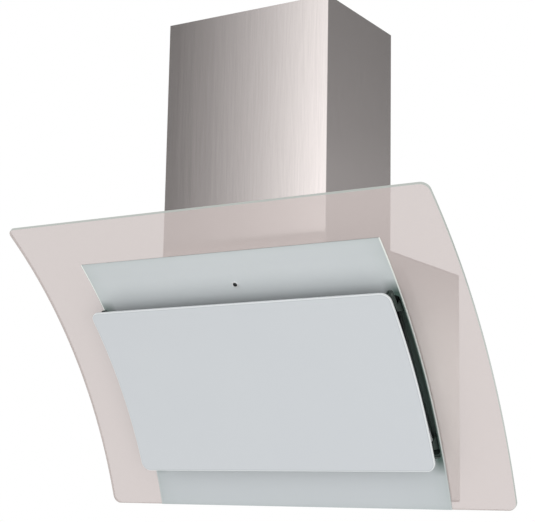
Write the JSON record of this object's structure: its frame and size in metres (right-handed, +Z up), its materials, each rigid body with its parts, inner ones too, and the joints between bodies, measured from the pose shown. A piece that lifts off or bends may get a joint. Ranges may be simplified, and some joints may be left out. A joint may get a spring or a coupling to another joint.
{
  "type": "range hood",
  "caption": "Wall-hung kitchen hood: curved glass canopy, hinged curved front panel over an air slot, grease filters, blower and telescopic steel chimney.",
  "frame": {"origin": "on the wall, in the middle of the hood's width, at the lower edge of the steel body", "axes": "+X to the right seen from the room, +Y into the wall, +Z up"},
  "size_m": [0.9, 0.4084, 0.9384],
  "materials": {
    "clear_glass": "clear with a faint warm tint, polished edges",
    "painted_glass": "pale blue-grey, painted on its back, glossy",
    "painted_steel": "pale blue-grey satin",
    "brushed_steel": "vertical grain",
    "galvanised_steel": "galvanised",
    "dark_steel": "dark grey satin",
    "plated_steel": "zinc plated",
    "foam_tape": "matt",
    "rubber": "matt",
    "filter_aluminium": "satin",
    "filter_wire": "bright wire",
    "motor_paint": "satin",
    "white_plastic": "moulded",
    "lamp_lens": "frosted",
    "black_plastic": "fine texture",
    "chrome_ring": "satin chrome"
  },
  "bodies": {
    "hood": {"curved_glass": "clear_glass", "painted_fascia": "painted_steel", "bonding_tape": "foam_tape", "right_side_panel": "brushed_steel", "left_side_panel": "brushed_steel", "back_plate": "galvanised_steel", "left_lamp_lens": "lamp_lens", "left_lamp_housing": "white_plastic", "right_lamp_lens": "lamp_lens", "right_lamp_housing": "white_plastic", "bottom_plate": "galvanised_steel", "rubber_feet": "rubber", "right_hinge_arm": "dark_steel", "left_hinge_arm": "dark_steel", "hinge_pins": "plated_steel", "hinge_bushes": "white_plastic", "catch_arms": "dark_steel", "catch_magnets": "motor_paint", "motor": "motor_paint", "motor_spider": "plated_steel", "scroll_housing": "galvanised_steel", "motor_screws": "plated_steel", "capacitor": "motor_paint", "outlet_collar": "white_plastic", "collar_screws": "plated_steel", "flap_pin": "plated_steel", "cable_gland": "rubber", "blower_box": "galvanised_steel", "box_screws": "plated_steel", "lower_chimney": "brushed_steel", "chimney_screws": "plated_steel", "top_plate": "galvanised_steel", "front_frame": "dark_steel", "filter_seat": "dark_steel", "key_bezel": "chrome_ring", "control_box": "black_plastic", "control_board": "black_plastic"},
    "front_panel": {"front_panel_glass": "painted_glass", "front_panel_tray": "dark_steel", "panel_hinge_ears": "dark_steel", "strike_plates": "plated_steel"},
    "right_filter": {"right_filter_frame": "filter_aluminium", "right_filter_mesh": "filter_aluminium", "right_filter_core": "filter_aluminium"},
    "left_filter": {"left_filter_frame": "filter_aluminium", "left_filter_mesh": "filter_aluminium", "left_filter_core": "filter_aluminium"},
    "right_bail": {"right_filter_bail": "filter_wire"},
    "left_bail": {"left_filter_bail": "filter_wire"},
    "blower": {"blower_wheel": "galvanised_steel", "motor_shaft": "plated_steel"},
    "right_flap": {"right_flap": "white_plastic"},
    "left_flap": {"left_flap": "white_plastic"},
    "upper_chimney": {"upper_chimney": "brushed_steel", "ceiling_bracket": "galvanised_steel"},
    "push_key": {"push_key": "black_plastic"}
  },
  "joints": [
    {"name": "panel_hinge", "type": "hinge", "parent": "hood", "child": "front_panel", "pos_m": [0, -0.26562, 0.34689], "axis": [-1, 0, 0], "range_deg": [0, 70]},
    {"name": "right_filter_slide", "type": "slide", "parent": "hood", "child": "right_filter", "axis": [0, -0.8452, -0.5344], "range_m": [0, 0.015]},
    {"name": "right_bail_swing", "type": "hinge", "parent": "right_filter", "child": "right_bail", "pos_m": [0.15105, -0.22001, 0.3505], "axis": [1, 0, 0], "range_deg": [-60, 30]},
    {"name": "left_filter_slide", "type": "slide", "parent": "hood", "child": "left_filter", "axis": [0, -0.8452, -0.5344], "range_m": [0, 0.015]},
    {"name": "left_bail_swing", "type": "hinge", "parent": "left_filter", "child": "left_bail", "pos_m": [-0.15105, -0.22001, 0.3505], "axis": [1, 0, 0], "range_deg": [-60, 30]},
    {"name": "blower_spin", "type": "hinge", "parent": "hood", "child": "blower", "pos_m": [0, -0.105, 0.528], "axis": [1, 0, 0], "continuous": true},
    {"name": "right_flap_hinge", "type": "hinge", "parent": "hood", "child": "right_flap", "pos_m": [0, -0.153, 0.6705], "axis": [0, -1, 0], "range_deg": [0, 75]},
    {"name": "left_flap_hinge", "type": "hinge", "parent": "hood", "child": "left_flap", "pos_m": [0, -0.153, 0.6705], "axis": [0, 1, 0], "range_deg": [0, 75]},
    {"name": "upper_chimney_slide", "type": "slide", "parent": "hood", "child": "upper_chimney", "axis": [0, 0, 1], "range_m": [0, 0.35]},
    {"name": "key_press", "type": "slide", "parent": "hood", "child": "push_key", "axis": [0, 0.7208, 0.6931], "range_m": [0, 0.001], "stiffness_N_per_m": 400, "springref_m": -0.0005}
  ]
}
